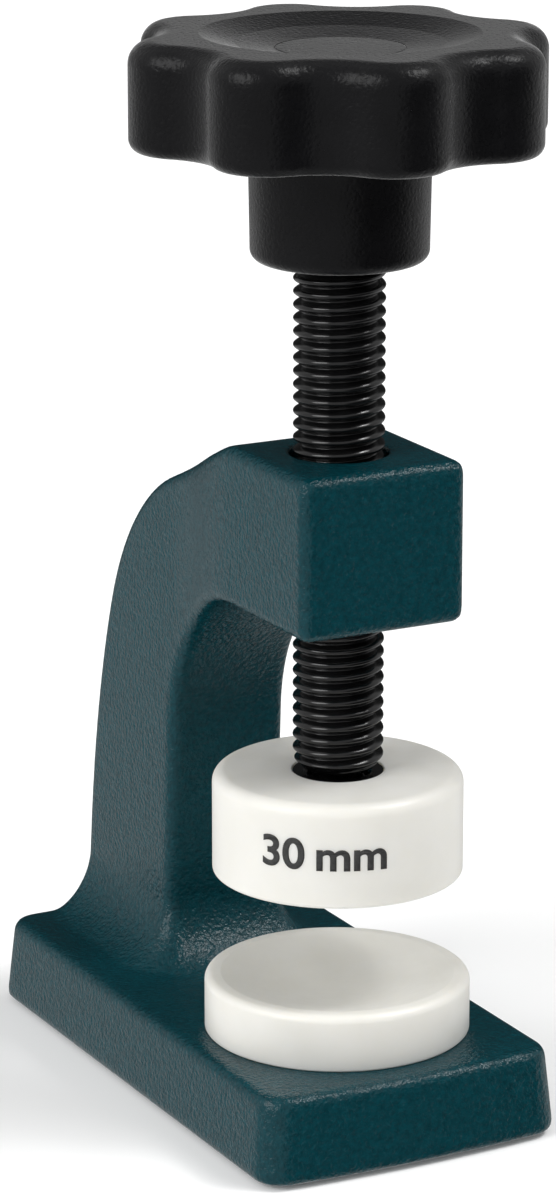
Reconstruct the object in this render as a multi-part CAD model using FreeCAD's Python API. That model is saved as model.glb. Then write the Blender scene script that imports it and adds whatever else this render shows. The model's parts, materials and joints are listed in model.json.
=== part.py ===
import FreeCAD, Part
import math
import os

# Snap setting press: a small C-frame screw press that closes two nylon dies.
# Units are millimetres.  +Z is up, the operator stands at -Y, the column is at +Y.
# The origin is on the spindle axis, at the plane the press stands on.

# ---- driving dimensions -------------------------------------------------------
# base plate of the casting
BASE_HALF_WIDTH = 21.3      # at the top face
BASE_FRONT = -21.0          # front top edge, at the corners
BASE_BACK = 60.1            # back top edge
BASE_BOW = 1.1              # how far the front face bulges
BASE_TOP = 12.3
BASE_BOTTOM = 0.5           # the pad stands proud of the casting by this much
BASE_DRAFT = 1.0            # how much each side spreads from top to bottom
BASE_CORNER = 4.0
BASE_TOP_FILLET = 1.5
BASE_BOTTOM_FILLET = 1.0

# column, arm and head of the casting
HEAD_HALF_WIDTH = 12.0
HEAD_FRONT = -12.7
HEAD_TOP = 91.6
HEAD_UNDERSIDE = 70.0
HEAD_BACK = 9.4             # where the flat top breaks into the sloping back
COLUMN_HALF_WIDTH = 8.8
COLUMN_TAPER_START = 8.0    # behind here the arm narrows
COLUMN_TAPER_END = 32.0     # and from here the column has its full slimness
CASTING_FILLET = 1.5
FOOT_COVE = 9.3             # radius of the coves round the foot of the column

# spindle thread, M12 x 1.75 with rounded crests
THREAD_MAJOR = 12.0
THREAD_PITCH = 1.75
THREAD_DEPTH = 1.07
THREAD_FLANK = 30.0         # degrees from square to the axis
THREAD_ROOT_FLAT = 0.25
THREAD_CREST_RISE = 0.16    # height of the eased crest above its shoulders
THREAD_CREST_SHARE = 0.35   # the crest's flat as a share of the width between its shoulders
THREAD_PLAY = 0.26          # radial play in the nut

# bushing pressed into the head
BUSHING_RADIUS = 8.0
BUSHING_BOTTOM = 70.5
BUSHING_TOP = 88.0
HEAD_BORE_RADIUS = 6.5      # clearance hole above the bushing
BUSHING_LOCK_Z = 79.5

# dies
UPPER_DIE_RADIUS = 16.65
UPPER_DIE_BOTTOM = 34.4
UPPER_DIE_TOP = 48.4
LOWER_DIE_RADIUS = 17.75
LOWER_DIE_TOP = 20.0
SNAP_RADIUS = 15.0          # the 30 mm cap the dies are cut for
LOWER_DISH_DEPTH = 1.9
UPPER_DISH_DEPTH = 1.0

# spindle ends
SPINDLE_SHOULDER = 118.0
SPINDLE_END = 137.2
SHANK_RADIUS = 5.0
THREAD_START = 48.9
NECK_RADIUS = 3.0
NOSE_RADIUS = 4.0
NOSE_TOP = 44.2
NOSE_TIP = 40.9

# knob
KNOB_LOBES = 8
KNOB_RADIUS = 27.8
KNOB_VALLEY = 24.2
KNOB_LOBE_ARC = 7.4
KNOB_BOTTOM = 131.9
KNOB_TOP = 146.1
KNOB_FIRST_VALLEY = -122.1  # degrees, anticlockwise from +X seen from above
KNOB_TOP_FILLET = 3.0
KNOB_BOTTOM_FILLET = 1.8
DISH_RADIUS = 18.0
DISH_DEPTH = 1.9
HUB_RADIUS_TOP = 11.85
HUB_RADIUS_BOTTOM = 11.55
HUB_BOTTOM = 116.8
HUB_FILLET = 1.6
CAP_RADIUS = 8.4
CAP_THICKNESS = 2.0

SLIP = 0.02                 # radial slip between plain parts that stay together
GAP = 0.3                   # play between parts that move on each other

Vec = FreeCAD.Vector
AXIS_X = Vec(1, 0, 0)
AXIS_Y = Vec(0, 1, 0)
AXIS_Z = Vec(0, 0, 1)


# ---- small helpers ------------------------------------------------------------
def cylinder(radius, bottom, top):
    return Part.makeCylinder(radius, top - bottom, Vec(0, 0, bottom), AXIS_Z)


def cone(radius_bottom, radius_top, bottom, top):
    return Part.makeCone(radius_bottom, radius_top, top - bottom, Vec(0, 0, bottom), AXIS_Z)


def box(x0, x1, y0, y1, z0, z1):
    return Part.makeBox(x1 - x0, y1 - y0, z1 - z0, Vec(x0, y0, z0))


def revolved(profile):
    """A solid of revolution about Z from (radius, height) corners."""
    corners = [Vec(r, 0, z) for r, z in profile]
    wire = Part.makePolygon(corners + [corners[0]])
    return Part.Face(wire).revolve(Vec(0, 0, 0), AXIS_Z, 360)


def hex_socket(across_flats, bottom, top):
    """A six-sided hole on the axis, as the solid that cuts it."""
    radius = across_flats / math.sqrt(3)
    corners = []
    for i in range(7):
        a = math.radians(60 * i)
        corners.append(Vec(radius * math.cos(a), radius * math.sin(a), bottom))
    return Part.Face(Part.makePolygon(corners)).extrude(Vec(0, 0, top - bottom))


def edges_where(shape, test):
    """The edges whose bounding box passes the test."""
    return [e for e in shape.Edges if test(e.BoundBox)]


def bezier(points):
    curve = Part.BezierCurve()
    curve.setPoles(points)
    return curve.toShape()


def arc3(a, b, c):
    return Part.Arc(a, b, c).toShape()


def along(point, direction, distance):
    """The point a distance away from another one, in the YZ plane."""
    length = math.hypot(direction[0], direction[1])
    return (point[0] + direction[0] / length * distance, point[1] + direction[1] / length * distance)


def thread_profile(play):
    """One pitch of the screw in section, as (radius, height) corners from root to root."""
    root = THREAD_MAJOR / 2 - THREAD_DEPTH + play
    crest = THREAD_MAJOR / 2 + play
    shoulder = crest - THREAD_CREST_RISE
    half_root = (THREAD_PITCH - THREAD_ROOT_FLAT) / 2
    half_shoulder = half_root - (shoulder - root) * math.tan(math.radians(THREAD_FLANK))
    half_crest = half_shoulder * THREAD_CREST_SHARE
    return [(root, -half_root), (shoulder, -half_shoulder), (crest, -half_crest),
            (crest, half_crest), (shoulder, half_shoulder), (root, half_root),
            (root, THREAD_PITCH - half_root)]


def threaded_rod(play, bottom, top):
    """A right-hand screw that covers this height, as strips winding up the axis turn by turn."""
    profile = thread_profile(play)
    first = math.floor(bottom / THREAD_PITCH) - 1
    last = math.ceil(top / THREAD_PITCH) + 1

    def rail(radius, height):
        edge = Part.makeHelix(THREAD_PITCH, THREAD_PITCH, radius).Edges[0]
        edge.translate(Vec(0, 0, height))
        return edge

    def end_faces(z):
        """The flat and the winding face that close the screw where a turn starts."""
        low = Vec(0, 0, z + profile[0][1])
        high = Vec(0, 0, z + profile[-1][1])
        corners = [low] + [Vec(r, 0, z + h) for r, h in profile] + [high, low]
        winding = Part.makeRuledSurface(Part.makeLine(low, high), rail(profile[0][0], low.z))
        return [Part.Face(Part.makePolygon(corners)), winding]

    faces = end_faces(first * THREAD_PITCH) + end_faces(last * THREAD_PITCH)
    for turn in range(first, last):
        z = turn * THREAD_PITCH
        for (r0, h0), (r1, h1) in zip(profile, profile[1:]):
            faces.append(Part.makeRuledSurface(rail(r0, z + h0), rail(r1, z + h1)))
    shell = Part.Shell(faces)
    shell.sewShape()
    return Part.Solid(shell)


# ---- frame casting ------------------------------------------------------------
def draft_at(z):
    """How far the drafted sides stand outside their place at the base's top face."""
    return BASE_DRAFT * (BASE_TOP - z) / (BASE_TOP - BASE_BOTTOM)


def base_outline(z):
    out = draft_at(z)
    w = BASE_HALF_WIDTH + out
    front = BASE_FRONT - out
    back = BASE_BACK + out
    bow = arc3(Vec(-w, front, z), Vec(0, front - BASE_BOW, z), Vec(w, front, z))
    right = Part.makeLine(Vec(w, front, z), Vec(w, back, z))
    rear = Part.makeLine(Vec(w, back, z), Vec(-w, back, z))
    left = Part.makeLine(Vec(-w, back, z), Vec(-w, front, z))
    return Part.Wire([bow, right, rear, left])


def base_plate():
    block = Part.makeLoft([base_outline(BASE_BOTTOM), base_outline(BASE_TOP)], True, True)
    block = block.makeFillet(BASE_CORNER, edges_where(block, lambda b: b.ZLength > 5))
    top = edges_where(block, lambda b: b.ZMin > BASE_TOP - 0.01)
    block = block.makeFillet(BASE_TOP_FILLET, top)
    bottom = edges_where(block, lambda b: b.ZMax < BASE_BOTTOM + 0.01)
    return block.makeFillet(BASE_BOTTOM_FILLET, bottom)


COVE_TOP = BASE_TOP + FOOT_COVE
INNER_LOW = (33.0, COVE_TOP)          # front face of the column, above its foot (Y, Z)
INNER_HIGH = (31.6, 47.0)
ARCH_START = (8.0, HEAD_UNDERSIDE)    # where the underside of the arm starts to curve down


def inner_face_y(z):
    run = (INNER_HIGH[0] - INNER_LOW[0]) / (INNER_HIGH[1] - INNER_LOW[1])
    return INNER_LOW[0] + run * (z - INNER_LOW[1])


def side_outline():
    """The arm and column seen from the side, as a closed wire in the YZ plane."""
    foot = 7.0                # the column runs down to here, inside the base
    rise = (inner_face_y(1) - inner_face_y(0), 1.0)
    slope = (1.0, -0.42)
    slope_start = (HEAD_BACK, HEAD_TOP)
    slope_end = along(slope_start, slope, 25.6)
    knee = (51.3, 60.8)
    knee_run = (0.36, -1.0)
    back_run = (draft_at(0) - draft_at(1), -1.0)
    back_foot = (BASE_BACK + draft_at(COVE_TOP), COVE_TOP)
    corner_in = (HEAD_BACK - 1.6, HEAD_TOP)
    corner_out = along(slope_start, slope, 1.6)

    def at(point):
        return Vec(0, point[0], point[1])

    def line(a, b):
        return Part.makeLine(at(a), at(b))

    inner_foot = (inner_face_y(foot), foot)
    arch_lead = (ARCH_START[0] + 10.0, ARCH_START[1])
    low_back = (BASE_BACK + draft_at(foot), foot)
    edges = [
        line(inner_foot, INNER_HIGH),
        bezier([at(INNER_HIGH), at(along(INNER_HIGH, rise, 14.0)), at(arch_lead), at(ARCH_START)]),
        line(ARCH_START, (HEAD_FRONT, HEAD_UNDERSIDE)),
        line((HEAD_FRONT, HEAD_UNDERSIDE), (HEAD_FRONT, HEAD_TOP)),
        line((HEAD_FRONT, HEAD_TOP), corner_in),
        bezier([at(corner_in), at(slope_start), at(corner_out)]),
        line(corner_out, slope_end),
        bezier([at(slope_end), at(along(slope_end, slope, 8.5)),
                at(along(knee, knee_run, -10.5)), at(knee)]),
        bezier([at(knee), at(along(knee, knee_run, 13.0)),
                at(along(back_foot, back_run, -13.0)), at(back_foot)]),
        line(back_foot, low_back),
        line(low_back, inner_foot),
    ]
    return Part.Wire(edges)


def plan_outline():
    """The arm and column seen from above: full width at the head, slimmer behind it."""
    w, n = HEAD_HALF_WIDTH, COLUMN_HALF_WIDTH
    y0, y1 = COLUMN_TAPER_START, COLUMN_TAPER_END
    lead = (y1 - y0) * 0.45
    front, back = HEAD_FRONT - 10, BASE_BACK + 10

    def taper(side):
        return bezier([Vec(side * w, y0, 0), Vec(side * w, y0 + lead, 0),
                       Vec(side * n, y1 - lead, 0), Vec(side * n, y1, 0)])

    edges = [
        Part.makeLine(Vec(-w, front, 0), Vec(w, front, 0)),
        Part.makeLine(Vec(w, front, 0), Vec(w, y0, 0)),
        taper(1),
        Part.makeLine(Vec(n, y1, 0), Vec(n, back, 0)),
        Part.makeLine(Vec(n, back, 0), Vec(-n, back, 0)),
        Part.makeLine(Vec(-n, back, 0), Vec(-n, y1, 0)),
        taper(-1),
        Part.makeLine(Vec(-w, y0, 0), Vec(-w, front, 0)),
    ]
    return Part.Wire(Part.__sortEdges__(edges))


def arm_and_column():
    side = Part.Face(side_outline())
    side.translate(Vec(-2 * HEAD_HALF_WIDTH, 0, 0))
    side = side.extrude(Vec(4 * HEAD_HALF_WIDTH, 0, 0))
    plan = Part.Face(plan_outline()).extrude(Vec(0, 0, HEAD_TOP + 10))
    body = side.common(plan).removeSplitter()
    rim = edges_where(body, lambda b: b.ZMax > BASE_TOP and not (b.XLength > 15 and b.YLength < 2 and
                                                                 HEAD_BACK - 2 < b.YMin))
    return body.makeFillet(CASTING_FILLET, rim)


FOOT_INSET = 0.05             # the foot starts this far inside the column's faces
FOOT_SINK = 0.3               # and ends this far below the base's top face
FOOT_STEPS = 9                # sections the cove is lofted through
SKIRT_DEPTH = 2.5


def foot_section(spread, z, inset=FOOT_INSET):
    """The column's section where its foot spreads; the corners soften as it does."""
    w = COLUMN_HALF_WIDTH + spread - inset
    front = inner_face_y(COVE_TOP) - spread + inset
    back = BASE_BACK + draft_at(z) - inset
    r = CASTING_FILLET + 0.9 * spread
    q = CASTING_FILLET + 0.5 * spread
    bite = 1 - math.sqrt(0.5)
    edges = [
        Part.makeLine(Vec(-w, back - q, z), Vec(-w, front + r, z)),
        arc3(Vec(-w, front + r, z), Vec(-w + r * bite, front + r * bite, z), Vec(-w + r, front, z)),
        Part.makeLine(Vec(-w + r, front, z), Vec(w - r, front, z)),
        arc3(Vec(w - r, front, z), Vec(w - r * bite, front + r * bite, z), Vec(w, front + r, z)),
        Part.makeLine(Vec(w, front + r, z), Vec(w, back - q, z)),
        arc3(Vec(w, back - q, z), Vec(w - q * bite, back - q * bite, z), Vec(w - q, back, z)),
        Part.makeLine(Vec(w - q, back, z), Vec(-w + q, back, z)),
        arc3(Vec(-w + q, back, z), Vec(-w + q * bite, back - q * bite, z), Vec(-w, back - q, z)),
    ]
    return Part.Wire(edges)


def column_foot():
    """The cove round the column's foot, and the skirt that carries it over the base's rounded back edge."""
    wires = []
    for i in range(FOOT_STEPS + 1):
        a = math.radians(90 * i / FOOT_STEPS)
        spread = FOOT_COVE * (1 - math.cos(a))
        wires.append(foot_section(spread, COVE_TOP - FOOT_SINK - FOOT_COVE * math.sin(a)))
    cove = Part.makeLoft(wires, True, False)
    skirt = Part.Face(foot_section(FOOT_COVE + 0.35, BASE_TOP - FOOT_SINK + 0.1, 2 * FOOT_INSET))
    return cove.fuse(skirt.extrude(Vec(0, 0, -SKIRT_DEPTH)))


def frame_casting():
    body = base_plate().fuse([arm_and_column(), column_foot()])
    body = body.removeSplitter()
    cutters = [
        cylinder(BUSHING_RADIUS, HEAD_UNDERSIDE - 1, BUSHING_TOP),
        cylinder(HEAD_BORE_RADIUS, BUSHING_TOP - 1, HEAD_TOP + 1),
        pad_blank(PAD_MARGIN - SLIP * 5, BASE_BOTTOM - 1, PAD_TOP),
        cylinder(LOWER_POCKET_RADIUS, 0, LOWER_POCKET_TOP),
        cylinder(LOWER_SCREW_RADIUS + 0.2, 0, BASE_TOP + 1),
        lock_screw_hole(),
    ]
    for cutter in cutters:
        body = body.cut(cutter)
    return body


# ---- thread bushing and its lock screw ----------------------------------------
LOCK_RADIUS = 2.0
LOCK_TIP = 7.4                # the cone point dips into the bushing to this radius
LOCK_END = 11.0
LOCK_POINT = 1.2              # length of the cone point
LOCK_SOCKET = 2.0             # across flats


def lock_screw_hole():
    return Part.makeCylinder(LOCK_RADIUS + SLIP, 14, Vec(LOCK_TIP, 0, BUSHING_LOCK_Z), AXIS_X)


def bushing_lock_screw():
    z = BUSHING_LOCK_Z
    start = LOCK_TIP + LOCK_POINT
    screw = Part.makeCylinder(LOCK_RADIUS, LOCK_END - start, Vec(start, 0, z), AXIS_X)
    point = Part.makeCone(LOCK_RADIUS - LOCK_POINT, LOCK_RADIUS, LOCK_POINT, Vec(LOCK_TIP, 0, z), AXIS_X)
    socket = hex_socket(LOCK_SOCKET, 0, 2.0)
    socket.rotate(Vec(0, 0, 0), AXIS_Y, 90)
    socket.translate(Vec(LOCK_END - 1.8, 0, z))
    return screw.fuse(point).removeSplitter().cut(socket)


BUSHING_CHAMFER = 0.5
BUSHING_LEAD = 1.3            # the countersink at each end of its thread


def thread_bushing():
    blank = cylinder(BUSHING_RADIUS, BUSHING_BOTTOM, BUSHING_TOP)
    rim = edges_where(blank, lambda b: b.ZLength < 0.01)
    blank = blank.makeChamfer(BUSHING_CHAMFER, rim)
    blank = blank.cut(threaded_rod(THREAD_PLAY, BUSHING_BOTTOM - 2.0, BUSHING_TOP + 2.0))
    mouth = THREAD_MAJOR / 2 + THREAD_PLAY + 0.1
    throat = mouth - BUSHING_LEAD
    blank = blank.cut(cone(mouth, throat, BUSHING_BOTTOM, BUSHING_BOTTOM + BUSHING_LEAD))
    blank = blank.cut(cone(throat, mouth, BUSHING_TOP - BUSHING_LEAD, BUSHING_TOP))
    dimple = Part.makeCylinder(LOCK_RADIUS + SLIP, 3, Vec(LOCK_TIP, 0, BUSHING_LOCK_Z), AXIS_X)
    return blank.cut(dimple)


# ---- base pad -----------------------------------------------------------------
PAD_MARGIN = 3.2
PAD_TOP = 1.7


def pad_blank(margin, bottom, top):
    """A sheet following the outline of the base, set in from its edge."""
    w = BASE_HALF_WIDTH - margin
    front = BASE_FRONT + margin
    back = BASE_BACK - margin
    sheet = box(-w, w, front, back, bottom, top)
    return sheet.makeFillet(BASE_CORNER, edges_where(sheet, lambda b: b.ZLength > 0.5))


def base_pad():
    sheet = pad_blank(PAD_MARGIN, 0, PAD_TOP)
    return sheet.cut(cylinder(LOWER_POCKET_RADIUS + 0.5, -1, PAD_TOP + 1))


# ---- lower die and its fixing -------------------------------------------------
LOWER_SCREW_RADIUS = 2.5
LOWER_POCKET_RADIUS = 6.2
LOWER_POCKET_TOP = 7.2
WASHER_THICKNESS = 1.2
LOWER_INSERT_RADIUS = 3.6
LOWER_INSERT_LENGTH = 4.2
LOWER_WASHER_RADIUS = 5.0
LOWER_HEAD_RADIUS = 4.5
LOWER_HEAD_HEIGHT = 2.8
LOWER_DIE_RIM = 0.9           # rounding of the rim round the dish
HEX_KEY = 3.0                 # across flats, both cap screws
WASHER_PLAY = 0.15            # radial


def dish(radius, depth, z, up):
    """A ball that cuts a shallow dish of this opening radius and depth at height z."""
    ball = (radius * radius + depth * depth) / (2 * depth)
    return Part.makeSphere(ball, Vec(0, 0, z + up * (ball - depth)))


def lower_die():
    body = cylinder(LOWER_DIE_RADIUS, BASE_TOP, LOWER_DIE_TOP)
    body = body.makeChamfer(0.3, edges_where(body, lambda b: b.ZMax < BASE_TOP + 0.01))
    body = body.cut(dish(SNAP_RADIUS, LOWER_DISH_DEPTH, LOWER_DIE_TOP, 1))
    top = edges_where(body, lambda b: b.ZMin > LOWER_DIE_TOP - 0.01 and b.ZLength < 0.01)
    body = body.makeFillet(LOWER_DIE_RIM, top)
    return body.cut(cylinder(LOWER_INSERT_RADIUS, BASE_TOP - 1, BASE_TOP + LOWER_INSERT_LENGTH))


def lower_die_insert():
    body = cylinder(LOWER_INSERT_RADIUS, BASE_TOP, BASE_TOP + LOWER_INSERT_LENGTH)
    return body.cut(cylinder(LOWER_SCREW_RADIUS + SLIP, BASE_TOP - 1, BASE_TOP + LOWER_INSERT_LENGTH + 1))


def lower_die_washer():
    body = cylinder(LOWER_WASHER_RADIUS, LOWER_POCKET_TOP - WASHER_THICKNESS, LOWER_POCKET_TOP)
    return body.cut(cylinder(LOWER_SCREW_RADIUS + WASHER_PLAY, 0, LOWER_POCKET_TOP + 1))


def lower_die_screw():
    seat = LOWER_POCKET_TOP - WASHER_THICKNESS
    low = seat - LOWER_HEAD_HEIGHT
    head = cylinder(LOWER_HEAD_RADIUS, low, seat)
    head = head.makeFillet(1.0, edges_where(head, lambda b: b.ZMax < low + 0.01))
    shank = cylinder(LOWER_SCREW_RADIUS, seat, BASE_TOP + LOWER_INSERT_LENGTH - 0.4)
    tip = edges_where(shank, lambda b: b.ZMin > BASE_TOP + 1)
    shank = shank.makeChamfer(0.5, tip)
    return head.fuse(shank).removeSplitter().cut(hex_socket(HEX_KEY, low - 1, seat - 0.9))


# ---- spindle ------------------------------------------------------------------
NOSE_FLAT = 2.2               # radius of the flat that bears on the thrust disc
NOSE_BEVEL = 1.2              # height of the bevel round it
THREAD_RUN_IN = 1.3           # height over which the thread reaches its full depth
THREAD_RUN_OUT = 0.8
SHANK_CHAMFER = 0.6
GRIP_FLAT = 3.2               # half height of the flat the knob's grub screw grips
OVERLAP = 1.0                 # how far the plain ends reach into the thread


def spindle():
    root = THREAD_MAJOR / 2 - THREAD_DEPTH
    crest = THREAD_MAJOR / 2 + 0.1
    end = SPINDLE_SHOULDER
    ends = revolved([(0, THREAD_START), (root - 0.1, THREAD_START), (crest, THREAD_START + THREAD_RUN_IN),
                     (crest, end - THREAD_RUN_OUT), (root + 0.4, end), (0, end)])
    thread = threaded_rod(0.0, THREAD_START, end).common(ends)
    neck_end = THREAD_START + OVERLAP
    nose = revolved([(0, NOSE_TIP), (NOSE_FLAT, NOSE_TIP), (NOSE_RADIUS, NOSE_TIP + NOSE_BEVEL),
                     (NOSE_RADIUS, NOSE_TOP), (NECK_RADIUS, NOSE_TOP), (NECK_RADIUS, neck_end),
                     (0, neck_end)])
    shank = revolved([(0, end - OVERLAP), (SHANK_RADIUS, end - OVERLAP),
                      (SHANK_RADIUS, SPINDLE_END - SHANK_CHAMFER),
                      (SHANK_RADIUS - SHANK_CHAMFER, SPINDLE_END), (0, SPINDLE_END)])
    tap = KNOB_SCREW_RADIUS + SLIP
    drilled = SPINDLE_END - KNOB_SCREW_REACH - 1
    shank = shank.cut(cylinder(tap, drilled, SPINDLE_END + 1))
    shank = shank.cut(cone(0, tap, drilled - 1.5, drilled))
    flat = box(-SHANK_RADIUS, SHANK_RADIUS, HUB_SCREW_TIP, SHANK_RADIUS + 1,
               HUB_SCREW_Z - GRIP_FLAT, HUB_SCREW_Z + GRIP_FLAT)
    return thread.fuse([nose, shank.cut(flat)])


# ---- knob and what holds it on ------------------------------------------------
KNOB_SCREW_RADIUS = 2.5
KNOB_SCREW_REACH = 11.0
BUSH_RADIUS = 7.5
BUSH_TOP = 137.5
KNOB_WASHER_RADIUS = 5.5
HUB_SCREW_Z = 124.0
HUB_SCREW_TIP = 4.5
HUB_SCREW_RADIUS = 2.5
HUB_SCREW_END = 10.6
DISH_KNEE_RADIUS = 13.5       # where the dish's floor turns up to its rim
DISH_KNEE_RISE = 0.7
BUSH_GROOVES = (121.0, 128.0, 132.0, 136.0)
BUSH_GROOVE_DEPTH = 0.4
BUSH_GROOVE_HALF = 0.4
HUB_KEY = 2.5                 # across flats
KNOB_WASHER_THICKNESS = 1.0
KNOB_HEAD_RADIUS = 4.6
KNOB_HEAD_HEIGHT = 2.8


def lobed_outline(z):
    """Convex lobes joined by tangent hollows, as one closed wire."""
    half = math.pi / KNOB_LOBES
    lobe_at = KNOB_RADIUS - KNOB_LOBE_ARC
    k = lobe_at * math.cos(half)
    top = lobe_at ** 2 + KNOB_VALLEY ** 2 - 2 * k * KNOB_VALLEY - KNOB_LOBE_ARC ** 2
    hollow = top / (2 * (KNOB_LOBE_ARC + k - KNOB_VALLEY))
    hollow_at = KNOB_VALLEY + hollow

    def polar(r, a):
        return Vec(r * math.cos(a), r * math.sin(a), z)

    def touch(lobe_angle, hollow_angle):
        lobe = polar(lobe_at, lobe_angle)
        other = polar(hollow_at, hollow_angle)
        return lobe + (other - lobe) * (KNOB_LOBE_ARC / (KNOB_LOBE_ARC + hollow))

    edges = []
    for i in range(KNOB_LOBES):
        a = math.radians(KNOB_FIRST_VALLEY) + half + 2 * half * i
        start = touch(a, a - half)
        end = touch(a, a + half)
        after = touch(a + 2 * half, a + half)
        edges.append(arc3(start, polar(KNOB_RADIUS, a), end))
        edges.append(arc3(end, polar(KNOB_VALLEY, a + half), after))
    return Part.Wire(edges)


def knob():
    head = Part.Face(lobed_outline(KNOB_BOTTOM)).extrude(Vec(0, 0, KNOB_TOP - KNOB_BOTTOM))
    head = head.makeFillet(KNOB_TOP_FILLET, edges_where(head, lambda b: b.ZMin > KNOB_TOP - 0.01))
    head = head.makeFillet(KNOB_BOTTOM_FILLET, edges_where(head, lambda b: b.ZMax < KNOB_BOTTOM + 0.01))
    hub = cone(HUB_RADIUS_BOTTOM, HUB_RADIUS_TOP, HUB_BOTTOM, KNOB_BOTTOM + 2)
    hub = hub.makeFillet(HUB_FILLET, edges_where(hub, lambda b: b.ZMax < HUB_BOTTOM + 0.01))
    body = head.fuse(hub).removeSplitter()
    floor = KNOB_TOP - DISH_DEPTH
    bowl = revolved([(0, floor), (CAP_RADIUS + 0.2, floor), (DISH_KNEE_RADIUS, floor + DISH_KNEE_RISE),
                     (DISH_RADIUS, KNOB_TOP), (DISH_RADIUS, KNOB_TOP + 1), (0, KNOB_TOP + 1)])
    cutters = [
        bowl,
        cylinder(CAP_RADIUS + SLIP, floor - CAP_THICKNESS, floor + 1),
        cylinder(KNOB_WASHER_RADIUS + 0.5, BUSH_TOP, floor),
        cylinder(BUSH_RADIUS, SPINDLE_SHOULDER, BUSH_TOP),
        cylinder(THREAD_MAJOR / 2 + 0.3, HUB_BOTTOM - 1, SPINDLE_SHOULDER),
        Part.makeCylinder(HUB_SCREW_RADIUS + SLIP, 12, Vec(0, BUSH_RADIUS - 1, HUB_SCREW_Z), AXIS_Y),
    ]
    for cutter in cutters:
        body = body.cut(cutter)
    return body


def knob_bush():
    body = cylinder(BUSH_RADIUS, SPINDLE_SHOULDER, BUSH_TOP)
    for z in BUSH_GROOVES:
        ring = cylinder(BUSH_RADIUS + 1, z - BUSH_GROOVE_HALF, z + BUSH_GROOVE_HALF)
        ring = ring.cut(cylinder(BUSH_RADIUS - BUSH_GROOVE_DEPTH, z - 1, z + 1))
        body = body.cut(ring)
    body = body.cut(cylinder(SHANK_RADIUS + SLIP, SPINDLE_SHOULDER - 1, BUSH_TOP + 1))
    hole = Part.makeCylinder(HUB_SCREW_RADIUS + SLIP, 12, Vec(0, 1, HUB_SCREW_Z), AXIS_Y)
    return body.cut(hole)


def hub_grub_screw():
    length = HUB_SCREW_END - HUB_SCREW_TIP
    screw = Part.makeCylinder(HUB_SCREW_RADIUS, length, Vec(0, HUB_SCREW_TIP, HUB_SCREW_Z), AXIS_Y)
    screw = screw.makeChamfer(0.5, edges_where(screw, lambda b: b.YMax < HUB_SCREW_TIP + 0.01))
    socket = hex_socket(HUB_KEY, 0, 3.0)
    socket.rotate(Vec(0, 0, 0), AXIS_X, -90)
    socket.translate(Vec(0, HUB_SCREW_END - 2.5, HUB_SCREW_Z))
    return screw.cut(socket)


def knob_washer():
    body = cylinder(KNOB_WASHER_RADIUS, BUSH_TOP, BUSH_TOP + KNOB_WASHER_THICKNESS)
    return body.cut(cylinder(KNOB_SCREW_RADIUS + WASHER_PLAY, BUSH_TOP - 1, BUSH_TOP + 2))


def knob_screw():
    seat = BUSH_TOP + KNOB_WASHER_THICKNESS
    top = seat + KNOB_HEAD_HEIGHT
    head = cylinder(KNOB_HEAD_RADIUS, seat, top)
    head = head.makeFillet(1.0, edges_where(head, lambda b: b.ZMin > top - 0.01))
    shank = cylinder(KNOB_SCREW_RADIUS, SPINDLE_END - KNOB_SCREW_REACH, seat)
    tip = edges_where(shank, lambda b: b.ZMax < SPINDLE_END - KNOB_SCREW_REACH + 0.01)
    shank = shank.makeChamfer(0.5, tip)
    return head.fuse(shank).removeSplitter().cut(hex_socket(HEX_KEY, seat + 0.9, top + 1))


def knob_cap():
    top = KNOB_TOP - DISH_DEPTH
    disc = cylinder(CAP_RADIUS, top - CAP_THICKNESS, top)
    return disc.makeFillet(0.3, edges_where(disc, lambda b: b.ZMin > top - 0.01))


# ---- upper die, its thrust socket and the ring that hangs it on the spindle ---
UPPER_DIE_SHOULDER = 1.6      # rounding of the upper rim
UPPER_DIE_LIP = 0.6           # rounding of the lower rim
SOCKET_RADIUS = 6.0
SOCKET_BOTTOM = 38.6
SOCKET_TOP = 48.2
SOCKET_BORE = NOSE_RADIUS + 0.08
SOCKET_FLOOR = SOCKET_BOTTOM + 1.0
SOCKET_MOUTH = 0.5            # bevel of its mouth
DISC_THICKNESS = 1.0
DISC_CHAMFER = 0.15
RING_WIRE = 0.5
RING_RADIUS = 4.1
RING_GAP = 0.8                # half the opening in the ring
RING_Z = NOSE_TOP + GAP + RING_WIRE


def upper_die():
    body = cylinder(UPPER_DIE_RADIUS, UPPER_DIE_BOTTOM, UPPER_DIE_TOP)
    top = edges_where(body, lambda b: b.ZMin > UPPER_DIE_TOP - 0.01)
    body = body.makeFillet(UPPER_DIE_SHOULDER, top)
    body = body.makeFillet(UPPER_DIE_LIP, edges_where(body, lambda b: b.ZMax < UPPER_DIE_BOTTOM + 0.01))
    body = body.cut(dish(SNAP_RADIUS, UPPER_DISH_DEPTH, UPPER_DIE_BOTTOM, -1))
    return body.cut(cylinder(SOCKET_RADIUS, SOCKET_BOTTOM, UPPER_DIE_TOP + 1))


def thrust_socket():
    body = cylinder(SOCKET_RADIUS, SOCKET_BOTTOM, SOCKET_TOP)
    body = body.cut(cylinder(SOCKET_BORE, SOCKET_FLOOR, SOCKET_TOP + 1))
    groove = cylinder(RING_RADIUS + RING_WIRE + GAP, RING_Z - RING_WIRE - GAP, RING_Z + RING_WIRE + GAP)
    body = body.cut(groove)
    mouth = SOCKET_BORE + SOCKET_MOUTH
    return body.cut(cone(SOCKET_BORE, mouth, SOCKET_TOP - SOCKET_MOUTH, SOCKET_TOP))


def thrust_disc():
    top = SOCKET_FLOOR + DISC_THICKNESS
    disc = cylinder(SOCKET_BORE - SLIP, SOCKET_FLOOR, top)
    return disc.makeChamfer(DISC_CHAMFER, edges_where(disc, lambda b: b.ZMin > top - 0.01))


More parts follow.
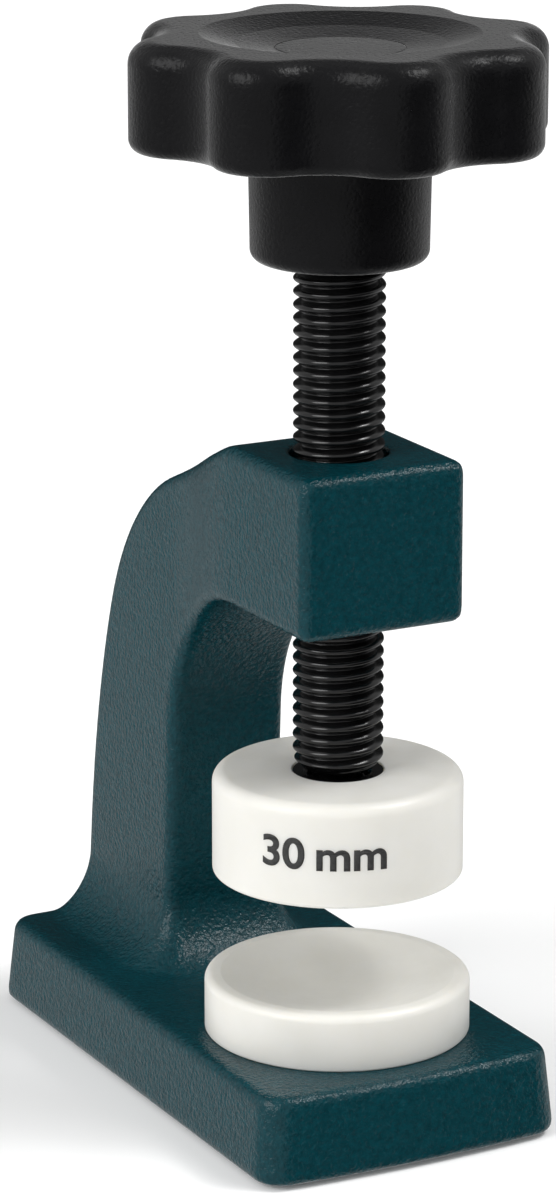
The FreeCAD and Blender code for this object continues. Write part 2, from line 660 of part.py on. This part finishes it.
def retaining_ring():
    ring = Part.makeTorus(RING_RADIUS, RING_WIRE, Vec(0, 0, RING_Z), AXIS_Z)
    return ring.cut(box(-RING_GAP, RING_GAP, 0, RING_RADIUS + 1, RING_Z - 1, RING_Z + 1))


# ---- write every part ---------------------------------------------------------
PARTS = {
    "frame_casting": frame_casting,
    "thread_bushing": thread_bushing,
    "bushing_lock_screw": bushing_lock_screw,
    "base_pad": base_pad,
    "lower_die": lower_die,
    "lower_die_insert": lower_die_insert,
    "lower_die_washer": lower_die_washer,
    "lower_die_screw": lower_die_screw,
    "retaining_ring": retaining_ring,
    "spindle": spindle,
    "knob": knob,
    "knob_bush": knob_bush,
    "knob_washer": knob_washer,
    "knob_screw": knob_screw,
    "knob_cap": knob_cap,
    "hub_grub_screw": hub_grub_screw,
    "upper_die": upper_die,
    "thrust_socket": thrust_socket,
    "thrust_disc": thrust_disc,
}

os.makedirs("parts", exist_ok=True)
for name, make in PARTS.items():
    make().exportStep("parts/" + name + ".step")
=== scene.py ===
import json
import math

import bmesh
import bpy
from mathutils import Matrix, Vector


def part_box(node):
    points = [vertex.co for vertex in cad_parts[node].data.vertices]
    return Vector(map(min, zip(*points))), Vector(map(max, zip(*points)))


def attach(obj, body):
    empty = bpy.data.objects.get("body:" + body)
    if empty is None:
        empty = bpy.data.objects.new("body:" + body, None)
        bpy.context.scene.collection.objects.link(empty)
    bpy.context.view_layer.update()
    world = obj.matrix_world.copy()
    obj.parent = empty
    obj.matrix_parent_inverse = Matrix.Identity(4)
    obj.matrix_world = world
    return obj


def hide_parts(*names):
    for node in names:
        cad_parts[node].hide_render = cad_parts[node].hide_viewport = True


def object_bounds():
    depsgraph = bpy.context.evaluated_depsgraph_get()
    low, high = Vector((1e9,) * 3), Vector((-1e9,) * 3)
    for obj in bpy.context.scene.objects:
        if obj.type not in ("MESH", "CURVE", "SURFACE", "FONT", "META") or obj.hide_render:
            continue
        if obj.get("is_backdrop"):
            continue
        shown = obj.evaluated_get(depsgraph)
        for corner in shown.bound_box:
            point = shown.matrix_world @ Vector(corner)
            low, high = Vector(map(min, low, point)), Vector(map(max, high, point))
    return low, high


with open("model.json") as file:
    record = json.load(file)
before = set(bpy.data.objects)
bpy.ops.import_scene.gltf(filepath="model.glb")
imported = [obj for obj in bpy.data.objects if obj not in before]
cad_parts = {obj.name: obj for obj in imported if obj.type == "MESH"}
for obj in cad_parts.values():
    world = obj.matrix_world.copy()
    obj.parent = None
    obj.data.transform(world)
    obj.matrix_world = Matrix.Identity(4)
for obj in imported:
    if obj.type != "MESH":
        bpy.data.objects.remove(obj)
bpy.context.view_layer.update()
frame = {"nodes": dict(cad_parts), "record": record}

# A snap setting press on a white table.  Lengths are in metres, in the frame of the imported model:
# +Z is up along the spindle, the operator is at -Y and the column is at +Y.
MM = 0.001


def node_box(name):
    """The lowest and the highest corner of a CAD node's box."""
    low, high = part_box(name)
    return Vector(low), Vector(high)


def add_to_scene(name, data):
    obj = bpy.data.objects.new(name, data)
    bpy.context.scene.collection.objects.link(obj)
    return obj


def evaluated_mesh(obj):
    """The object's mesh with its modifiers or its text applied."""
    depsgraph = bpy.context.evaluated_depsgraph_get()
    return bpy.data.meshes.new_from_object(obj.evaluated_get(depsgraph))


# ---- camera ---------------------------------------------------------------------------------
CAMERA_AT = Vector((-279.7, -515.3, 237.1)) * MM
CAMERA_LOOKS = Vector((0.44762, 0.85188, -0.27192))
LENS_MM = 139.7
SENSOR_MM = 36.0
NEAREST, FARTHEST = 0.01, 20.0    # the camera draws between these distances

camera_data = bpy.data.cameras.new("camera")
camera_data.lens = LENS_MM
camera_data.sensor_width = SENSOR_MM
camera_data.clip_start = NEAREST
camera_data.clip_end = FARTHEST
camera = add_to_scene("camera", camera_data)
camera.location = CAMERA_AT
camera.rotation_euler = CAMERA_LOOKS.to_track_quat("-Z", "Y").to_euler()
bpy.context.scene.camera = camera


# ---- mesh helpers ---------------------------------------------------------------------------
FILLET_RUNS = 8         # straight runs in one fillet
LATHE_SIDES = 160       # sides of a turned piece
DISH_RINGS = 18         # rings between a dish's rim and its middle
ON_AXIS = 1e-7          # a smaller radius than this is a single point on the axis


def new_object(name, verts, faces, smooth=True):
    mesh = bpy.data.meshes.new(name)
    mesh.from_pydata([tuple(v) for v in verts], [], [tuple(f) for f in faces])
    mesh.validate()
    mesh.polygons.foreach_set("use_smooth", [smooth] * len(mesh.polygons))
    mesh.update()
    return add_to_scene(name, mesh)


def ring_of_points(sides, radius_at, z):
    """Points round the axis at one height; radius_at gives the radius for an angle and a height."""
    points = []
    for i in range(sides):
        a = 2 * math.pi * i / sides
        r = radius_at(a, z)
        points.append((r * math.cos(a), r * math.sin(a), z))
    return points


def plain(radius):
    return lambda a, z: radius


def rounded(profile):
    """Corners of a (radius, height, fillet) profile, each fillet drawn as an arc of short runs."""
    out = []
    for i, (r, z, fillet) in enumerate(profile):
        if fillet <= 0:
            out.append((r, z))
            continue
        here = Vector((r, z))
        before = Vector(profile[i - 1][:2])
        after = Vector(profile[i + 1][:2])
        u = (before - here).normalized()
        v = (after - here).normalized()
        angle = u.angle(v)
        back = fillet / math.tan(angle / 2)
        centre = here + (u + v).normalized() * (fillet / math.sin(angle / 2))
        a = here + u * back - centre
        b = here + v * back - centre
        turn = a.angle_signed(b)
        for k in range(FILLET_RUNS + 1):
            t = -turn * k / FILLET_RUNS
            c, s = math.cos(t), math.sin(t)
            out.append((centre.x + a.x * c - a.y * s, centre.y + a.x * s + a.y * c))
    return out


def lathe(name, profile):
    """A closed solid turned about the spindle axis from an open (radius, height) profile."""
    verts = []
    faces = []
    rings = []
    for r, z in profile:
        points = [(0.0, 0.0, z)] if r < ON_AXIS else ring_of_points(LATHE_SIDES, plain(r), z)
        rings.append(range(len(verts), len(verts) + len(points)))
        verts.extend(points)
    for low, high in zip(rings, rings[1:]):
        for i in range(LATHE_SIDES):
            j = (i + 1) % LATHE_SIDES
            if len(low) == 1:
                faces.append((low[0], high[j], high[i]))
            elif len(high) == 1:
                faces.append((low[i], low[j], high[0]))
            else:
                faces.append((low[i], low[j], high[j], high[i]))
    return new_object(name, verts, faces)


def dish_profile(radius, depth, rim_z, inward):
    """Points on a shallow round dish, from its rim to its middle; inward is -1 for a dish in a
    top face and 1 for one in an underside."""
    ball = (radius * radius + depth * depth) / (2 * depth)
    points = []
    for i in range(DISH_RINGS + 1):
        r = radius * (1 - i / DISH_RINGS)
        drop = math.sqrt(ball * ball - r * r) - (ball - depth)
        points.append((r, rim_z + inward * drop))
    return points


# ---- material helpers -----------------------------------------------------------------------
NOISE_LOW, NOISE_HIGH = 0.35, 0.65    # most of a noise lies between these


class Paint:
    """Builds one node material: a Principled shader with noise in colour, gloss and relief."""

    def __init__(self, name, **values):
        """Each value is set on the shader's input of that name, with spaces for underscores."""
        self.material = bpy.data.materials.new(name)
        self.material.use_nodes = True
        self.tree = self.material.node_tree
        self.shader = self.tree.nodes["Principled BSDF"]
        self.coords = self.tree.nodes.new("ShaderNodeTexCoord")
        for key, value in values.items():
            self.shader.inputs[key.replace("_", " ")].default_value = value

    def link(self, out, inp):
        self.tree.links.new(out, inp)

    def noise(self, size, detail=3.0, roughness=0.5, stretch=None):
        """Noise with features of about this size, in metres."""
        node = self.tree.nodes.new("ShaderNodeTexNoise")
        node.inputs["Scale"].default_value = 1.0 / size
        node.inputs["Detail"].default_value = detail
        node.inputs["Roughness"].default_value = roughness
        source = self.coords.outputs["Object"]
        if stretch:
            mapping = self.tree.nodes.new("ShaderNodeMapping")
            mapping.inputs["Scale"].default_value = stretch
            self.link(source, mapping.inputs["Vector"])
            source = mapping.outputs["Vector"]
        self.link(source, node.inputs["Vector"])
        return node.outputs["Fac"]

    def colour(self, fac, dark, light, dark_at=0.3, light_at=0.7):
        """Base colour goes from dark to light as the noise goes from dark_at to light_at."""
        node = self.tree.nodes.new("ShaderNodeValToRGB")
        stops = ((dark_at, dark), (light_at, light))
        for element, (at, colour) in zip(node.color_ramp.elements, stops):
            element.position = at
            element.color = (*colour, 1.0)
        self.link(fac, node.inputs["Fac"])
        self.link(node.outputs["Color"], self.shader.inputs["Base Color"])

    def gloss(self, fac, low, high):
        """Roughness goes from low to high with the noise."""
        node = self.tree.nodes.new("ShaderNodeMapRange")
        node.inputs["From Min"].default_value = NOISE_LOW
        node.inputs["From Max"].default_value = NOISE_HIGH
        node.inputs["To Min"].default_value = low
        node.inputs["To Max"].default_value = high
        self.link(fac, node.inputs["Value"])
        self.link(node.outputs["Result"], self.shader.inputs["Roughness"])

    def relief(self, *layers):
        """Stacked bumps: each layer is (noise, height in metres, strength)."""
        normal = None
        for fac, height, strength in layers:
            bump = self.tree.nodes.new("ShaderNodeBump")
            bump.inputs["Distance"].default_value = height
            bump.inputs["Strength"].default_value = strength
            self.link(fac, bump.inputs["Height"])
            if normal is not None:
                self.link(normal, bump.inputs["Normal"])
            normal = bump.outputs["Normal"]
        self.link(normal, self.shader.inputs["Normal"])


# ---- materials ------------------------------------------------------------------------------
def casting_paint():
    p = Paint("teal_casting_paint", IOR=1.5, Specular_IOR_Level=0.24)
    tone = p.noise(0.9 * MM, roughness=0.7)
    p.colour(tone, dark=(0.0007, 0.0250, 0.0325), light=(0.0013, 0.0425, 0.0545))
    grain = p.noise(0.58 * MM, detail=2.0, roughness=0.55)
    p.gloss(grain, low=0.14, high=0.22)
    swell = p.noise(2.2 * MM, detail=2.0)
    p.relief((swell, 0.16 * MM, 0.6), (grain, 0.24 * MM, 1.0))
    return p.material


def knob_plastic():
    p = Paint("knob_plastic", IOR=1.48, Specular_IOR_Level=0.15,
              Sheen_Weight=0.45, Sheen_Roughness=0.30)
    tone = p.noise(6 * MM)
    p.colour(tone, dark=(0.0022, 0.0022, 0.0027), light=(0.0038, 0.0038, 0.0045))
    grain = p.noise(0.5 * MM, detail=1.5)
    p.gloss(grain, low=0.27, high=0.36)
    p.relief((grain, 0.09 * MM, 0.9))
    return p.material


def black_screw_steel():
    p = Paint("black_oxide_steel", IOR=1.5, Specular_IOR_Level=0.45)
    oil = p.noise(2.4 * MM)
    p.colour(oil, dark=(0.0020, 0.0020, 0.0022), light=(0.0040, 0.0040, 0.0042))
    p.gloss(oil, low=0.12, high=0.20)
    fine = p.noise(0.3 * MM, detail=2.0, stretch=(1.0, 1.0, 5.0))
    p.relief((fine, 0.01 * MM, 0.4))
    return p.material


def nylon():
    p = Paint("milky_nylon", IOR=1.53, Subsurface_Weight=0.55,
              Subsurface_Radius=(1.0, 0.93, 0.80), Subsurface_Scale=2.2 * MM)
    cloud = p.noise(7 * MM, detail=4.0)
    p.colour(cloud, dark=(0.715, 0.705, 0.660), light=(0.750, 0.741, 0.702))
    turned = p.noise(0.5 * MM, detail=2.0, stretch=(0.25, 0.25, 3.0))
    p.gloss(turned, low=0.34, high=0.44)
    p.relief((turned, 0.012 * MM, 0.35))
    return p.material


def ink():
    p = Paint("printed_ink", IOR=1.45)
    wear = p.noise(0.35 * MM)
    p.colour(wear, dark=(0.020, 0.020, 0.020), light=(0.045, 0.045, 0.044), light_at=0.75)
    p.gloss(wear, low=0.45, high=0.6)
    p.relief((wear, 0.01 * MM, 0.3))
    return p.material


def turned_metal(name, dark, light, low, high):
    """Bare metal with fine rings round the axis; low and high are its roughness."""
    p = Paint(name, Metallic=1.0)
    tone = p.noise(3 * MM)
    p.colour(tone, dark, light)
    lines = p.noise(0.2 * MM, detail=2.0, stretch=(0.3, 0.3, 4.0))
    p.gloss(lines, low, high)
    p.relief((lines, 0.008 * MM, 0.5))
    return p.material


def pad_rubber():
    p = Paint("pad_rubber", IOR=1.5)
    tone = p.noise(4 * MM, detail=4.0)
    p.colour(tone, dark=(0.014, 0.014, 0.014), light=(0.022, 0.022, 0.021))
    grain = p.noise(0.6 * MM)
    p.gloss(grain, low=0.7, high=0.88)
    p.relief((grain, 0.06 * MM, 0.6))
    return p.material


MATERIALS = {
    "teal_casting": casting_paint(),
    "steel": turned_metal("bright_steel", dark=(0.42, 0.42, 0.43), light=(0.55, 0.55, 0.56),
                          low=0.22, high=0.36),
    "black_steel": black_screw_steel(),
    "pad_rubber": pad_rubber(),
    "nylon": nylon(),
    "brass": turned_metal("turned_brass", dark=(0.50, 0.35, 0.13), light=(0.62, 0.45, 0.18),
                          low=0.25, high=0.40),
    "black_plastic": knob_plastic(),
}


def finish_with(obj, material):
    obj.data.materials.clear()
    obj.data.materials.append(material)


for part in frame["record"]["subparts"]:
    finish_with(frame["nodes"][part["node"]], MATERIALS[part["material_slot"]])


def stand_for(obj, node, body, slot):
    """obj is the finished look of one CAD node."""
    finish_with(obj, MATERIALS[slot])
    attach(obj, body)
    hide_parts(node)


# ---- casting --------------------------------------------------------------------------------
CAST_VOXEL = 0.52 * MM
CAST_SMOOTHING = 0.5     # share of the way each pass moves a point towards its neighbours
CAST_PASSES = 4


def soft_cast(node, name):
    """A copy of a CAD node with its edges and joins softened, as paint over a casting does."""
    source = frame["nodes"][node]
    obj = add_to_scene(name, source.data.copy())
    obj.matrix_world = source.matrix_world
    remesh = obj.modifiers.new("skin", "REMESH")
    remesh.mode = "VOXEL"
    remesh.voxel_size = CAST_VOXEL
    remesh.use_smooth_shade = True
    smooth = obj.modifiers.new("soften", "SMOOTH")
    smooth.factor = CAST_SMOOTHING
    smooth.iterations = CAST_PASSES
    mesh = evaluated_mesh(obj)
    obj.modifiers.clear()
    obj.data = mesh
    return obj


stand_for(soft_cast("frame_casting", "casting_body"), "frame_casting", "frame", "teal_casting")


# ---- spindle --------------------------------------------------------------------------------
PITCH = 1.75 * MM
THREAD_DEPTH = 1.07 * MM
THREAD_SIDES = 72
THREAD_RINGS = 16               # in one pitch
THREAD_ABOVE_DIE = 0.5 * MM     # gap between the upper die's top and the thread
THREAD_INTO_HUB = 1.2 * MM
THREAD_START_R = 4.7 * MM       # where the chamfer on the thread's lower end begins
NOSE_TIP_R = 2.2 * MM
NOSE_CHAMFER = 1.2 * MM
NOSE_R = 4.0 * MM
NOSE_LENGTH = 3.3 * MM
NECK_R = 3.0 * MM
SHANK_R = 5.0 * MM
SHANK_CHAMFER = 0.6 * MM
SHANK_END_R = 4.4 * MM


def spindle():
    """The threaded spindle as one surface: the crest winds up the axis once a pitch."""
    low, high = node_box("spindle")
    thread_low = node_box("upper_die")[1].z + THREAD_ABOVE_DIE
    thread_high = node_box("knob")[0].z + THREAD_INTO_HUB
    thread_length = thread_high - thread_low
    thread_middle_r = high.x - THREAD_DEPTH / 2
    nose_high = low.z + NOSE_LENGTH

    def threaded(a, z):
        wave = 2 * abs(math.cos(a / 2 - math.pi * z / PITCH)) - 1
        chamfer = THREAD_START_R + (z - thread_low)
        return min(thread_middle_r + THREAD_DEPTH / 2 * wave, chamfer)

    rings = [(plain(NOSE_TIP_R), low.z), (plain(NOSE_R), low.z + NOSE_CHAMFER),
             (plain(NOSE_R), nose_high), (plain(NECK_R), nose_high), (plain(NECK_R), thread_low)]
    rows = int(thread_length / PITCH * THREAD_RINGS)
    for k in range(rows + 1):
        rings.append((threaded, thread_low + thread_length * k / rows))
    rings += [(plain(SHANK_R), thread_high), (plain(SHANK_R), high.z - SHANK_CHAMFER),
              (plain(SHANK_END_R), high.z)]

    verts = []
    for radius_at, z in rings:
        verts += ring_of_points(THREAD_SIDES, radius_at, z)
    faces = []
    for start in range(0, len(verts) - THREAD_SIDES, THREAD_SIDES):
        above = start + THREAD_SIDES
        for i in range(THREAD_SIDES):
            j = (i + 1) % THREAD_SIDES
            faces.append((start + i, start + j, above + j, above + i))
    faces.append(tuple(reversed(range(THREAD_SIDES))))
    faces.append(tuple(range(len(verts) - THREAD_SIDES, len(verts))))
    return new_object("spindle_thread", verts, faces)


stand_for(spindle(), "spindle", "spindle", "black_steel")


# ---- dies -----------------------------------------------------------------------------------
UPPER_DISH_R = 15.0 * MM
UPPER_DISH_DEPTH = 1.0 * MM
UPPER_FOOT_FILLET = 0.6 * MM
UPPER_RIM_FILLET = 1.7 * MM
SOCKET_R = 6.05 * MM            # the hole for the thrust socket, a little wider than the socket
SOCKET_LIP_FILLET = 0.25 * MM
SOCKET_FLOOR = 4.2 * MM         # the hole's floor above the upper die's lower face

LOWER_DISH_R = 15.3 * MM
LOWER_DISH_DEPTH = 1.9 * MM
LOWER_FOOT_FILLET = 0.3 * MM
LOWER_RIM_FILLET = 1.1 * MM
LOWER_LIP_R = 15.6 * MM         # inner edge of the lower die's flat rim
LOWER_LIP_FILLET = 0.35 * MM
INSERT_BORE_R = 3.6 * MM        # the blind hole for the insert in the lower die's underside
INSERT_BORE_DEPTH = 4.2 * MM
DISH_RINGS_CUT = 2              # outer rings of the dish that the lip's fillet takes away


def upper_die():
    low, high = node_box("upper_die")
    floor_z = low.z + SOCKET_FLOOR
    outline = [(UPPER_DISH_R, low.z, 0.0), (high.x, low.z, UPPER_FOOT_FILLET),
               (high.x, high.z, UPPER_RIM_FILLET), (SOCKET_R, high.z, SOCKET_LIP_FILLET),
               (SOCKET_R, floor_z, 0.0), (0.0, floor_z, 0.0)]
    under = dish_profile(UPPER_DISH_R, UPPER_DISH_DEPTH, low.z, inward=1)
    return lathe("upper_die_body", under[:0:-1] + rounded(outline))


def lower_die():
    low, high = node_box("lower_die")
    bore_z = low.z + INSERT_BORE_DEPTH
    dish = dish_profile(LOWER_DISH_R, LOWER_DISH_DEPTH, high.z, inward=-1)[DISH_RINGS_CUT:]
    outline = [(INSERT_BORE_R, bore_z, 0.0), (INSERT_BORE_R, low.z, 0.0),
               (high.x, low.z, LOWER_FOOT_FILLET), (high.x, high.z, LOWER_RIM_FILLET),
               (LOWER_LIP_R, high.z, LOWER_LIP_FILLET), (*dish[0], 0.0)]
    return lathe("lower_die_body", [(0.0, bore_z)] + rounded(outline) + dish[1:])


stand_for(upper_die(), "upper_die", "upper_die", "nylon")
stand_for(lower_die(), "lower_die", "frame", "nylon")


# ---- size mark on the upper die -------------------------------------------------------------
MARK = "30 mm"
MARK_WIDTH = 16.9 * MM
MARK_HEIGHT = 4.3 * MM
MARK_BASELINE = 5.4 * MM          # above the die's lower face
MARK_FACES = math.radians(-125.0)
MARK_LIFT = 0.02 * MM             # from the die's side to the middle of the ink
INK_THICKNESS = 0.03 * MM
FONT_SIZE = 6.0 * MM              # before the mark is fitted to its width and height
FONT_BOLDER = 0.13 * MM
FONT_WORD_GAP = 0.72
FONT_CURVE_STEPS = 8
MARK_CUTS = 2                     # cuts in each edge, so that the letters follow the die


def flat_mark():
    """The letters of the size as a flat mesh of small triangles."""
    text = bpy.data.curves.new("size_mark", "FONT")
    text.body = MARK
    text.size = FONT_SIZE
    text.align_x = "CENTER"
    text.offset = FONT_BOLDER
    text.space_word = FONT_WORD_GAP
    text.resolution_u = FONT_CURVE_STEPS
    holder = add_to_scene("size_mark_curve", text)
    mesh = evaluated_mesh(holder)
    bpy.data.objects.remove(holder)
    return mesh


def size_mark():
    """The printed size, wrapped round the die's side."""
    low, high = node_box("upper_die")
    mesh = flat_mark()
    work = bmesh.new()
    work.from_mesh(mesh)
    bmesh.ops.triangulate(work, faces=work.faces)
    bmesh.ops.subdivide_edges(work, edges=work.edges, cuts=MARK_CUTS)
    bmesh.ops.triangulate(work, faces=work.faces)
    across = [v.co.x for v in work.verts]
    upright = [v.co.y for v in work.verts]
    wide = MARK_WIDTH / (max(across) - min(across))
    tall = MARK_HEIGHT / (max(upright) - min(upright))
    centre = (max(across) + min(across)) / 2
    radius = high.x + MARK_LIFT
    for v in work.verts:
        a = MARK_FACES + (v.co.x - centre) * wide / radius
        height = low.z + MARK_BASELINE + v.co.y * tall
        v.co = Vector((radius * math.cos(a), radius * math.sin(a), height))
    bmesh.ops.recalc_face_normals(work, faces=work.faces)
    work.to_mesh(mesh)
    work.free()
    obj = add_to_scene("size_mark", mesh)
    film = obj.modifiers.new("ink_film", "SOLIDIFY")
    film.thickness = INK_THICKNESS
    film.offset = 0.0
    finish_with(obj, ink())
    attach(obj, "upper_die")


size_mark()


# ---- floor and light ------------------------------------------------------------------------
FLOOR_HALF_SIDE = 15.0
FLOOR_GLOW = 0.07                 # a little light of its own, for the photo's white ground
TOP_LIGHT = (0.45, -0.27, 0.85)   # where the softbox and the key light come from
SUNS = (                          # name, where it comes from, strength, the degrees it fills
    ("softbox_top", TOP_LIGHT, 1.1, 28),
    ("key", TOP_LIGHT, 0.35, 9),
    ("softbox_left", (-0.85, -0.10, 0.50), 1.65, 40),
)


def floor():
    """A white table, far wider than the picture, that glossy pieces do not mirror."""
    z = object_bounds()[0][2]
    s = FLOOR_HALF_SIDE
    obj = new_object("floor", [(-s, -s, z), (s, -s, z), (s, s, z), (-s, s, z)], [(0, 1, 2, 3)],
                     smooth=False)
    p = Paint("white_table", IOR=1.45, Roughness=0.9, Specular_IOR_Level=0.1,
              Emission_Color=(1.0, 1.0, 1.0, 1.0), Emission_Strength=FLOOR_GLOW)
    tone = p.noise(600 * MM, detail=2.0)
    p.colour(tone, dark=(0.93, 0.93, 0.93), light=(0.95, 0.95, 0.95))
    finish_with(obj, p.material)
    obj.visible_glossy = False
    obj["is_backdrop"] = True


def soft_sun(name, comes_from, strength, spread):
    """A far, broad light; its spread is the angle it fills, in degrees."""
    data = bpy.data.lights.new(name, "SUN")
    data.energy = strength
    data.angle = math.radians(spread)
    lamp = add_to_scene(name, data)
    lamp.rotation_euler = Vector(comes_from).to_track_quat("Z", "Y").to_euler()


floor()
for sun in SUNS:
    soft_sun(*sun)


# ---- surroundings ---------------------------------------------------------------------------
WHITE = (1.0, 1.0, 1.0, 1.0)
ROOM_GLOW = 0.66
CARD_SHARE = 0.06             # what a dark card leaves of the room's glow
DARK_CARDS = (                # direction, cosine where its soft edge starts, where it is full
    ((0.448, 0.852, 0.272), 0.62, 0.86),      # behind the press: its level faces mirror it
    ((0.448, -0.852, -0.272), 0.70, 0.90),    # low in front: its upright front faces mirror it
)


def studio_world():
    """A white room with dark cards in it."""
    world = bpy.data.worlds.new("studio")
    world.use_nodes = True
    nodes, links = world.node_tree.nodes, world.node_tree.links
    coords = nodes.new("ShaderNodeTexCoord")
    glow = nodes.new("ShaderNodeValue").outputs["Value"]
    glow.default_value = ROOM_GLOW
    for middle, starts, full in DARK_CARDS:
        toward = nodes.new("ShaderNodeVectorMath")
        toward.operation = "DOT_PRODUCT"
        toward.inputs[1].default_value = Vector(middle).normalized()
        links.new(coords.outputs["Generated"], toward.inputs[0])
        fade = nodes.new("ShaderNodeMapRange")
        fade.interpolation_type = "SMOOTHSTEP"
        fade.inputs["From Min"].default_value = starts
        fade.inputs["From Max"].default_value = full
        fade.inputs["To Min"].default_value = 1.0
        fade.inputs["To Max"].default_value = CARD_SHARE
        links.new(toward.outputs["Value"], fade.inputs["Value"])
        dimmed = nodes.new("ShaderNodeMath")
        dimmed.operation = "MULTIPLY"
        links.new(glow, dimmed.inputs[0])
        links.new(fade.outputs["Result"], dimmed.inputs[1])
        glow = dimmed.outputs["Value"]
    links.new(glow, nodes["Background"].inputs["Strength"])
    nodes["Background"].inputs["Color"].default_value = WHITE
    bpy.context.scene.world = world


studio_world()
bpy.context.scene.view_settings.view_transform = "Standard"
